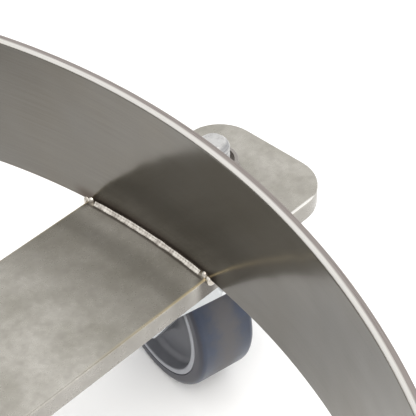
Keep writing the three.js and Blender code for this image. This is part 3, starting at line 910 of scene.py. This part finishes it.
# %% [markdown]
# ## Threads
#
# The kingpin is an M14 bolt pushed up through the caster and the bar. A thread is one groove wound round a
# rod. A bump could draw it, but not its toothed outline. So each point of a finely divided rod is
# drawn in by how far it is along the groove's pitch.

# %% Threaded rod
THREAD_PITCH = 2.0
THREAD_DEPTH = 1.15
ROWS_PER_PITCH = 8
ROD_STEPS = 64
CREST = 0.12  # share of the pitch that stays flat between two grooves


def threaded_rod(radius, low, thread_from, tip, pitch, tip_radius):
    """A rod up Z: plain from low to thread_from, then threaded to its chamfered tip."""
    rows = max(2, round((tip - thread_from) / pitch * ROWS_PER_PITCH))
    levels = [thread_from + (tip - thread_from) * i / rows for i in range(rows + 1)]
    outline = [(0, low), (radius, low)] + [(radius, level) for level in levels] + [(0, tip)]
    bm = spun(outline, ROD_STEPS, closed=False)
    depth = THREAD_DEPTH * pitch / THREAD_PITCH
    for v in bm.verts:
        r = math.hypot(v.co.x, v.co.y)
        if r < radius / 2 or v.co.z < thread_from - 0.01:
            continue
        turn = math.atan2(v.co.y, v.co.x) / FULL_TURN
        wave = (v.co.z / pitch - turn) % 1.0
        groove = max(0.0, 1 - abs(wave - 0.5) * 2 - CREST) / (1 - CREST)
        fade_in = min(1.0, (v.co.z - thread_from) / pitch)
        drawn_in = min(radius - depth * groove * fade_in, tip_radius + (tip - v.co.z))
        v.co.x *= drawn_in / r
        v.co.y *= drawn_in / r
    return bm


print("thread of", THREAD_PITCH, "mm pitch,", THREAD_DEPTH, "mm deep")

# %% [markdown]
# ## Heads and lock nuts
#
# Hexagons are cut from bar, and their corners are turned off at 30 degrees. Crossing a six-sided bar with
# a turned blank gives the curved chamfer lines of the real ones, which a plain bevel doesn't.

# %% Hexagon heads and lock nuts
CHAMFER_SLOPE = math.tan(math.radians(30))
COLLAR_ROUND = 0.8


def hex_blank(across_flats, low, high, both_ends):
    """A hexagon with its corners turned off at the top, and at the bottom too for a nut."""
    point = across_flats / math.sqrt(3)
    hexagon = bmesh.new()
    bmesh.ops.create_cone(
        hexagon, cap_ends=True, segments=6, radius1=point, radius2=point, depth=high - low,
        matrix=Matrix.Translation((0, 0, (low + high) / 2)),
    )
    corner = point + 0.01
    seat = across_flats / 2 - 0.2
    drop = (corner - seat) * CHAMFER_SLOPE
    outline = [(0, low), (seat, low), (corner, low + drop)] if both_ends else [(0, low), (corner, low)]
    outline += [(corner, high - drop), (seat, high), (0, high)]
    return combine(hexagon, spun(outline, ROD_STEPS, closed=False), "INTERSECT")


def lock_nut(across_flats, hex_top, top, collar, mouth, mouth_depth, bore):
    """A prevailing-torque nut standing on Z = 0: a hexagon, with its collar crimped over the insert."""
    body = hex_blank(across_flats, 0, hex_top, both_ends=True)
    hood = cylinder(collar, hex_top - 2, top, ROD_STEPS, {2: COLLAR_ROUND})
    step = top - mouth_depth
    hollow = [(0, -1), (bore, -1), (bore, step), (mouth, step), (mouth, top + 1), (0, top + 1)]
    return combine(combine(body, hood, "UNION"), spun(hollow, ROD_STEPS, closed=False), "DIFFERENCE")


# %% Kingpin
STUD_HEAD_FLATS, STUD_HEAD_HEIGHT = 22.0, 8.8
STUD_TIP_RADIUS = 4.8
pin_low, pin_high = heights("kingpin_1")


def kingpin():
    shank_from = pin_low + STUD_HEAD_HEIGHT - 1
    rod = threaded_rod(STUD_RADIUS, shank_from, bar_bottom, pin_high, THREAD_PITCH, STUD_TIP_RADIUS)
    head = hex_blank(STUD_HEAD_FLATS, -pin_low - STUD_HEAD_HEIGHT, -pin_low, both_ends=False)
    return combine(rod, moved(head, Matrix.Rotation(math.pi, 4, "X")), "UNION")


print("stud from", round(pin_low, 1), "to", round(pin_high, 1), "mm")

# %% [markdown]
# ## The stud's plating
#
# The stud is zinc plated as well, but thinly, and it has been turned in its nut. Painted shade darkens
# its grooves, while the crests and the tip stay bright. How deep a point lies tells the two apart.
# Ambient occlusion would find the grooves too, but it is slow and the export loses it.

# %% Finish: plated stud
def plated_stud():
    # Thin zinc on a rolled thread: bright rings, with painted shade in the grooves between.
    material, tree, own = new_finish("zinc_plated_stud", 1.0, coordinates="own")
    radius, split = from_axis(tree, own)
    clouds = add_node(tree, "TexNoise", {"Vector": own, "Scale": spaced(2.2), "Detail": 4.0})
    base = add_node(tree, "Mix", {"Factor": clouds, "A": colour("#A9A8A7"), "B": colour("#E2E1DF")})
    # Painted shade, deepest at the grooves' roots and fading out just below the tip.
    groove_shade = add_node(tree, "MapRange", {
        "Value": radius, "From Min": (STUD_RADIUS - 0.15) * MM,
        "From Max": (STUD_RADIUS - THREAD_DEPTH) * MM, "To Max": 0.85,
    })
    below_tip = add_node(tree, "MapRange", {
        "Value": split["Z"], "From Min": (pin_high - 0.1) * MM, "From Max": (pin_high - 1.8) * MM,
    })
    share = add_node(tree, "Math", {0: groove_shade, 1: below_tip}, operation="MULTIPLY")
    groove_shaded = add_node(tree, "Mix", {"Factor": share, "A": base, "B": colour("#5E6068")})
    relief = add_node(tree, "Bump", {"Height": clouds, "Strength": 0.3, "Distance": 0.12 * MM})
    return complete(material, groove_shaded, clouds, (0.24, 0.4), relief)


stud_finish = plated_stud()

# %% [markdown]
# ## Stainless fasteners
#
# The lock nut and its washer are stainless, as the bar is, and the same matt grey. The bar's finish would
# put clouds and burns on them, so they get the even grain that tumbling leaves.

# %% Finish: stainless fastener
def fastener_steel():
    # A cold-formed stainless nut: even warm grey with a fine tumbled grain.
    material, tree, own = new_finish("tumbled_stainless_fastener", 1.0, coordinates="own")
    grain = add_node(tree, "TexNoise", {"Vector": own, "Scale": spaced(0.7), "Detail": 3.0})
    base = add_node(tree, "Mix", {"Factor": grain, "A": colour("#8F8A86"), "B": colour("#A6A19C")})
    relief = add_node(tree, "Bump", {"Height": grain, "Strength": 0.2, "Distance": 0.05 * MM})
    return complete(material, base, grain, (0.24, 0.36), relief)


fastener_finish = fastener_steel()

# %% [markdown]
# ## Studs, washers and lock nuts
#
# Each stud stands up through the bar, with a flat washer and a lock nut on top. The washer is a spun
# rectangle: a cylinder with a hole cut in it would be the same shape with a less regular mesh.

# %% Studs, washers and lock nuts in place
CLEARANCE = 0.3  # between pieces that are pushed or screwed together
STUD_BORE = STUD_RADIUS + CLEARANCE
WASHER_RADIUS, WASHER_STEPS = 14.0, 96
NUT_TURN = math.radians(-30)
washer_low, washer_high = heights("stud_washer_1")
nut_low, nut_high = heights("lock_nut_1")
nut_seat = Matrix.Translation((0, 0, nut_low * MM)) @ Matrix.Rotation(NUT_TURN, 4, "Z")

for number in CASTERS:
    at_stud = places[number]["stud"]
    washer_section = oblong(STUD_BORE, WASHER_RADIUS, washer_low, washer_high)
    washer = spun(washer_section, WASHER_STEPS, {1: 0.35, 2: 0.6})
    fit_caster(number, at_stud, [
        (kingpin(), "stud", "frame", "zinc", "kingpin", stud_finish),
        (washer, "washer", "frame", "stainless_plate", "stud_washer", fastener_finish),
    ])
    nut = lock_nut(
        STUD_HEAD_FLATS, hex_top=10.6, top=nut_high - nut_low, collar=10.7, mouth=8.9, mouth_depth=3.0,
        bore=STUD_BORE,
    )
    fit_caster(number, at_stud @ nut_seat, [
        (nut, "stud_nut", "frame", "stainless_plate", "lock_nut", fastener_finish),
    ])

# %% [markdown]
# ## Swivel head
#
# The pressed cap under the bar rolls on a ring of loose balls, which run on the fork's crown. The cap and
# the lower cup could be sheets with a Solidify modifier; as turned sections they get their press
# radii at the same time.

# %% Races
CAP_RADIUS, CAP_SHEET = 29.0, 2.4
CUP_RADIUS = 15.0
CAP_STEPS, CUP_STEPS = 120, 80
cap_low, cap_high = heights("top_race_1")
cup_low, cup_high = heights("lower_race_1")


def top_race():
    inside, under = CAP_RADIUS - CAP_SHEET, cap_high - CAP_SHEET
    outline = [
        (STUD_BORE, under), (inside, under), (inside, cap_low), (CAP_RADIUS, cap_low),
        (CAP_RADIUS, cap_high), (STUD_BORE, cap_high),
    ]
    return spun(outline, CAP_STEPS, {1: 0.9, 3: 0.5, 4: 2.6})


def lower_race():
    return spun(oblong(STUD_BORE, CUP_RADIUS, cup_low, cup_high), CUP_STEPS, {1: 1.8, 2: 0.3})


print("cap", 2 * CAP_RADIUS, "mm wide, cup", 2 * CUP_RADIUS, "mm wide")

# %% [markdown]
# ## Balls
#
# The balls are hardened steel in grease. They are small, partly hidden and many, so a plain icosphere
# each is enough; they are real balls and not one torus, because light falls between them.

# %% Finish: greased bearing steel
def bearing_ball_steel():
    # Hardened ball steel: polished and dark, with smears of grease that dull it.
    material, tree, own = new_finish("greased_ball_steel", 1.0, coordinates="own")
    grease = add_node(tree, "TexNoise", {"Vector": own, "Scale": spaced(3), "Detail": 3.0})
    base = add_node(tree, "Mix", {"Factor": grease, "A": colour("#A7A9AC"), "B": colour("#8C8573")})
    return complete(material, base, grease, (0.06, 0.3), None, between=(0.35, 0.65))


ball_finish = bearing_ball_steel()

# %% Balls
BALL_RADIUS, BALL_CIRCLE, BALL_GAP = 3.0, 20.0, 0.15
BALL_COUNT = int(FULL_TURN * BALL_CIRCLE / (2 * BALL_RADIUS + BALL_GAP))
ball_low, ball_high = heights("ball_ring_1")


def balls():
    bm = bmesh.new()
    for i in range(BALL_COUNT):
        turn = Matrix.Rotation(i / BALL_COUNT * FULL_TURN, 4, "Z")
        spot = turn @ Matrix.Translation((BALL_CIRCLE, 0, (ball_low + ball_high) / 2))
        bmesh.ops.create_icosphere(bm, subdivisions=2, radius=BALL_RADIUS, matrix=spot)
    return bm


print(BALL_COUNT, "balls in each swivel")

# %% [markdown]
# ## Fork
#
# The fork is one piece of sheet bent into a U and cut to shape. It could be three plates joined, but
# bending first and cutting afterwards gives the true look: a U section is drawn out along the caster,
# its bends rounded inside and out, and it is then cut with the side outline of the legs and with
# the plan of the crown.

# %% Bent sheet
WHEEL_HALF_WIDTH = 15.0
LEG_INNER, LEG_OUTER = WHEEL_HALF_WIDTH + 2.5, WHEEL_HALF_WIDTH + 5.5
CROWN_SHEET = 3.5
BEND_RADIUS = 4.0
FORK_FRONT, FORK_REAR = 34.6, 31.0
AXLE_BOSS = 12.0
fork_low, fork_high = heights("fork_1")
crown_under = fork_high - CROWN_SHEET


def u_section():
    """The bent sheet, drawn out along Y from the crown's front to behind the axle."""
    front, rear = -FORK_FRONT, lead + AXLE_BOSS + 0.2
    outline = [
        (-LEG_OUTER, fork_low), (-LEG_INNER, fork_low), (-LEG_INNER, crown_under),
        (LEG_INNER, crown_under), (LEG_INNER, fork_low), (LEG_OUTER, fork_low),
        (LEG_OUTER, fork_high), (-LEG_OUTER, fork_high),
    ]
    inner_bend = BEND_RADIUS - CROWN_SHEET
    bm = slab(outline, front, rear, {2: inner_bend, 3: inner_bend, 6: BEND_RADIUS, 7: BEND_RADIUS})
    # The outline's heights become Z, and its thickness becomes Y.
    moved(bm, Matrix(((1, 0, 0), (0, 0, 1), (0, 1, 0))).to_4x4())
    bmesh.ops.recalc_face_normals(bm, faces=bm.faces)
    return bm


print("fork", round(fork_high - fork_low, 1), "mm high")

# %% Side and plan of the fork
FRONT_SLOPE, FRONT_RUN = math.radians(-51.3), 60.0
FRONT_LIFT = 0.5  # of the front edge's upper end over the crown's underside
BOSS_STEPS = 24
PLAN_ROUND = 2.5


def touching_turn(point, centre, radius, side):
    """Where a line from point touches a circle, as an angle round its centre."""
    towards = point - centre
    return math.atan2(towards.y, towards.x) + side * math.acos(radius / towards.length)


def side_cutter():
    """Everything that is kept as seen from the side: (trailing, height)."""
    axle = Vector((lead, axle_height))
    front = Vector((-FORK_FRONT, crown_under + FRONT_LIFT))
    waist = front + FRONT_RUN * Vector((math.cos(FRONT_SLOPE), math.sin(FRONT_SLOPE)))
    rear = Vector((FORK_REAR, crown_under))
    start = touching_turn(waist, axle, AXLE_BOSS, 1)
    end = touching_turn(rear, axle, AXLE_BOSS, -1) + FULL_TURN
    while end - start > FULL_TURN:
        end -= FULL_TURN
    outline = [(FORK_REAR, fork_high + 2), (-FORK_FRONT - 0.1, fork_high + 2), tuple(front), tuple(waist)]
    for i in range(BOSS_STEPS + 1):
        turn = start + (end - start) * i / BOSS_STEPS
        outline.append(tuple(axle + AXLE_BOSS * Vector((math.cos(turn), math.sin(turn)))))
    outline.append(tuple(rear))
    bm = slab(outline, -LEG_OUTER - 2, LEG_OUTER + 2)
    # The outline's X becomes Y, and its Y becomes Z.
    moved(bm, Matrix(((0, 0, 1), (1, 0, 0), (0, 1, 0))).to_4x4())
    bmesh.ops.recalc_face_normals(bm, faces=bm.faces)
    return bm


def plan_cutter():
    """Everything that is kept as seen from above: rounded in front."""
    wide = LEG_OUTER + 0.1
    outline = oblong(-wide, wide, -FORK_FRONT, lead + AXLE_BOSS + 5)
    return slab(outline, 0, fork_high + 5, {0: PLAN_ROUND, 1: PLAN_ROUND})


print("front edge falls at", round(-math.degrees(FRONT_SLOPE), 1), "degrees")

# %% Fork
CROWN_HOLE = STUD_RADIUS + 1.5
AXLE_HOLE = 5.3


def fork():
    bm = combine(u_section(), side_cutter(), "INTERSECT")
    bm = combine(bm, plan_cutter(), "INTERSECT")
    bm = combine(bm, cylinder(CROWN_HOLE, fork_high - 6, fork_high + 2), "DIFFERENCE")
    to_axle = Matrix.Translation((0, lead, axle_height)) @ Matrix.Rotation(math.pi / 2, 4, "Y")
    axle_hole = moved(cylinder(AXLE_HOLE, -LEG_OUTER - 3, LEG_OUTER + 3), to_axle)
    return combine(bm, axle_hole, "DIFFERENCE")


# %% [markdown]
# ## Swivel heads and forks
#
# The cap and the cup stay with the stud, while the balls and the fork turn. Cut sheet has its edges eased
# by tumbling. After so many cuts the fork's edges are hard to choose by hand, so a Bevel modifier
# finds them by their angle, before the shading is evened out.

# %% Swivel heads and forks in place
EDGE_EASE = 0.4
for number in CASTERS:
    body = f"fork_{number}"
    fit_caster(number, places[number]["stud"], [
        (top_race(), "swivel_cap", "frame", "zinc", "top_race", zinc_finish),
        (lower_race(), "swivel_cup", "frame", "zinc", "lower_race", zinc_finish),
    ])
    fit_caster(number, places[number]["fork"], [
        (balls(), "swivel_balls", body, "bearing_steel", "ball_ring", ball_finish),
        (fork(), "bent_fork", body, "zinc", "fork", zinc_finish),
    ])
    bent = bpy.data.objects[f"bent_fork_{number}"]
    ease = bent.modifiers.new("eased_edges", "BEVEL")
    ease.width, ease.segments, ease.limit_method = EDGE_EASE * MM, 2, "ANGLE"
    ease.angle_limit = math.radians(50)
    bent.modifiers.move(1, 0)

# %% [markdown]
# ## The wheel centre's plastic
#
# The wheel turns on a moulded grey centre of glass-filled nylon. One grey would do, but its rim carries
# painted light, so the colour is mixed by the distance from the axle.

# %% Finish: moulded grey polyamide
WHEEL_RADIUS = 40.0
TREAD_DEPTH = 6.1
HUB_RADIUS = WHEEL_RADIUS - TREAD_DEPTH - CLEARANCE
RIM_INNER = HUB_RADIUS - 3.0


def moulded_polyamide():
    # Injection-moulded nylon: matt grey, faintly mottled by the glass fibre.
    material, tree, own = new_finish("moulded_grey_polyamide", 0.0, coordinates="own")
    clouds = add_node(tree, "TexNoise", {"Vector": own, "Scale": spaced(7), "Detail": 4.0})
    grain = add_node(tree, "TexNoise", {"Vector": own, "Scale": spaced(0.4), "Detail": 2.0})
    base = add_node(tree, "Mix", {"Factor": clouds, "A": colour("#585A60"), "B": colour("#707176")})
    # Painted light on the rim's corner: lighter from 0.3 to 1 mm outside the recess.
    radius, _ = from_axis(tree, own)
    lit_rim = add_node(
        tree, "MapRange",
        {"Value": radius, "From Min": (RIM_INNER + 0.3) * MM, "From Max": (RIM_INNER + 1.0) * MM},
        interpolation_type="SMOOTHSTEP",
    )
    rim_lit = add_node(tree, "Mix", {"Factor": lit_rim, "A": base, "B": colour("#94969C")})
    relief = add_node(tree, "Bump", {"Height": grain, "Strength": 0.12, "Distance": 0.04 * MM})
    return complete(material, rim_lit, clouds, (0.4, 0.52), relief)


hub_finish = moulded_polyamide()

# %% [markdown]
# ## Wheel centre
#
# It has a rim, a thinner web and a boss. Moulded parts have a radius in every inside corner, so the
# outline is spun with its inner corners rounded widely. Stacked cylinders would meet in sharp
# corners that no mould gives.

# %% Wheel hub
WEB_HALF, BOSS_RADIUS, HUB_BORE = 7.3, 12.0, 7.8
BOSS_HALF = LEG_INNER - 1.0
INSIDE_ROUND, MOULD_EDGE, RIM_EDGE = 3.0, 0.5, 0.3
HUB_STEPS = 128


def wheel_hub():
    far = [
        (HUB_BORE, BOSS_HALF), (BOSS_RADIUS, BOSS_HALF), (BOSS_RADIUS, WEB_HALF),
        (RIM_INNER, WEB_HALF), (RIM_INNER, WHEEL_HALF_WIDTH), (HUB_RADIUS, WHEEL_HALF_WIDTH),
    ]
    near = [(r, -z) for r, z in far]
    one_side = [MOULD_EDGE, INSIDE_ROUND, INSIDE_ROUND, MOULD_EDGE, RIM_EDGE]
    rounds = dict(enumerate(one_side + one_side[::-1], start=1))
    return spun(near + far[::-1], HUB_STEPS, rounds)


print("hub", 2 * HUB_RADIUS, "mm wide")

# %% [markdown]
# ## The tyre's elastomer
#
# Cast polyurethane is dark blue and slightly see-through, so light goes a little way in and comes out
# bluer. Running wears its middle band dull and brown with ground-in dirt, and the shoulders stay
# blue. The wear is drawn across the tread from the piece's own axis, so no UV map is needed.

# %% Finish: cast polyurethane
def cast_polyurethane():
    # Cast elastomer: a deep blue gloss with a brownish scuffed running band.
    material, tree, own = new_finish("cast_blue_polyurethane", 0.0, coordinates="own")
    radius, split = from_axis(tree, own)
    dirt = add_node(
        tree, "TexNoise", {"Vector": own, "Scale": spaced(5), "Detail": 5.0, "Roughness": 0.62},
    )
    scuffs = add_node(tree, "TexNoise", {"Vector": own, "Scale": spaced(0.9), "Detail": 3.0})
    blue = add_node(tree, "Mix", {"Factor": dirt, "A": colour("#1E2635"), "B": colour("#2B364D")})
    # The worn band fades from 1 to 11 mm off the tread's middle, and wanders by 2 mm.
    off_middle = add_node(tree, "Math", {0: split["Z"]}, operation="ABSOLUTE")
    wobble = add_node(tree, "MapRange", {
        "Value": dirt, "From Min": 0.3, "From Max": 0.7, "To Min": -2 * MM, "To Max": 2 * MM,
    })
    reach = add_node(tree, "Math", {0: off_middle, 1: wobble}, operation="ADD")
    wear_and_sheen = add_node(
        tree, "MapRange", {"Value": reach, "From Min": 11 * MM, "From Max": 1 * MM, "To Max": 0.72},
        interpolation_type="SMOOTHSTEP",
    )
    on_tread = add_node(tree, "MapRange", {
        "Value": radius, "From Min": (WHEEL_RADIUS - 0.6) * MM, "From Max": (WHEEL_RADIUS - 0.1) * MM,
    })
    worn_share = add_node(tree, "Math", {0: wear_and_sheen, 1: on_tread}, operation="MULTIPLY")
    base = add_node(tree, "Mix", {"Factor": worn_share, "A": blue, "B": colour("#534F4D")})
    # The side walls never touch the floor, but they dull to a violet grey.
    on_side = add_node(tree, "MapRange", {
        "Value": off_middle, "From Min": (WHEEL_HALF_WIDTH - 1.6) * MM,
        "From Max": (WHEEL_HALF_WIDTH - 0.6) * MM, "To Max": 0.85,
    })
    sided = add_node(tree, "Mix", {"Factor": on_side, "A": base, "B": colour("#2A2932")})
    relief = add_node(tree, "Bump", {"Height": scuffs, "Strength": 0.25, "Distance": 0.08 * MM})
    connect(tree, tree.nodes["Principled BSDF"], {
        "Subsurface Weight": 0.15, "Subsurface Radius": (0.4, 0.6, 1.0), "Subsurface Scale": 3 * MM,
    })
    return complete(material, sided, worn_share, (0.3, 0.62), relief, between=(0.0, 1.0))


tyre_finish = cast_polyurethane()

# %% [markdown]
# ## Tyre
#
# The tyre is cast round the centre as a flat tread with rounded shoulders. A torus would be round all
# over, and this one is square with soft corners, so a rectangle is rounded and spun.

# %% Tyre
SHOULDER_ROUND = 3.2
TYRE_STEPS = 160


def tyre():
    section = oblong(WHEEL_RADIUS - TREAD_DEPTH, WHEEL_RADIUS, -WHEEL_HALF_WIDTH, WHEEL_HALF_WIDTH)
    return spun(section, TYRE_STEPS, {0: 0.3, 1: SHOULDER_ROUND, 2: SHOULDER_ROUND, 3: 0.3})


print("tyre", 2 * WHEEL_RADIUS, "by", 2 * WHEEL_HALF_WIDTH, "mm")

# %% [markdown]
# ## Axle
#
# An M10 bolt goes through both legs and through a steel tube that the wheel turns on. Its own nut locks
# it. All of these are drawn along Z and then laid along the axle, because a piece that is drawn
# lying down is harder to measure.

# %% Axle and sleeve
AXLE_RADIUS, AXLE_TIP_RADIUS, AXLE_PITCH = 5.0, 3.9, 1.5
AXLE_FLATS, AXLE_HEAD_HEIGHT = 17.0, 6.4
AXLE_NUT_HEIGHT, THREAD_BEYOND = 10.0, 2.0
AXLE_BORE = AXLE_RADIUS + CLEARANCE
SLEEVE_WALL, SLEEVE_STEPS = 2.2, 64
LEG_FACE = LEG_OUTER + CLEARANCE


def axle_bolt():
    end = LEG_FACE + AXLE_NUT_HEIGHT + THREAD_BEYOND
    rod = threaded_rod(AXLE_RADIUS, -LEG_FACE - 1, LEG_OUTER - 2, end, AXLE_PITCH, AXLE_TIP_RADIUS)
    head = hex_blank(AXLE_FLATS, 0, AXLE_HEAD_HEIGHT, both_ends=False)
    turn_over = Matrix.Translation((0, 0, -LEG_FACE)) @ Matrix.Rotation(math.pi, 4, "X")
    return combine(rod, moved(head, turn_over), "UNION")


def axle_nut():
    nut = lock_nut(
        AXLE_FLATS, hex_top=7.4, top=AXLE_NUT_HEIGHT, collar=7.9, mouth=6.6, mouth_depth=1.2,
        bore=AXLE_BORE,
    )
    return moved(nut, Matrix.Translation((0, 0, LEG_FACE)))


def axle_sleeve():
    half = LEG_INNER - CLEARANCE
    section = oblong(AXLE_BORE, AXLE_BORE + SLEEVE_WALL, -half, half)
    return spun(section, SLEEVE_STEPS, {1: 0.3, 2: 0.3})


# %% Axles and wheels in place
for number in CASTERS:
    body, wheel = f"fork_{number}", f"wheel_{number}"
    fit_caster(number, places[number]["axle"], [
        (axle_bolt(), "axle", body, "zinc", "axle_bolt", zinc_finish),
        (axle_nut(), "axle_lock_nut", body, "zinc", "axle_nut", zinc_finish),
        (axle_sleeve(), "axle_tube", body, "zinc", "axle_sleeve", zinc_finish),
        (wheel_hub(), "wheel_centre", wheel, "polyamide", "wheel_hub", hub_finish),
        (tyre(), "tyre", wheel, "polyurethane", "wheel_tread", tyre_finish),
    ])
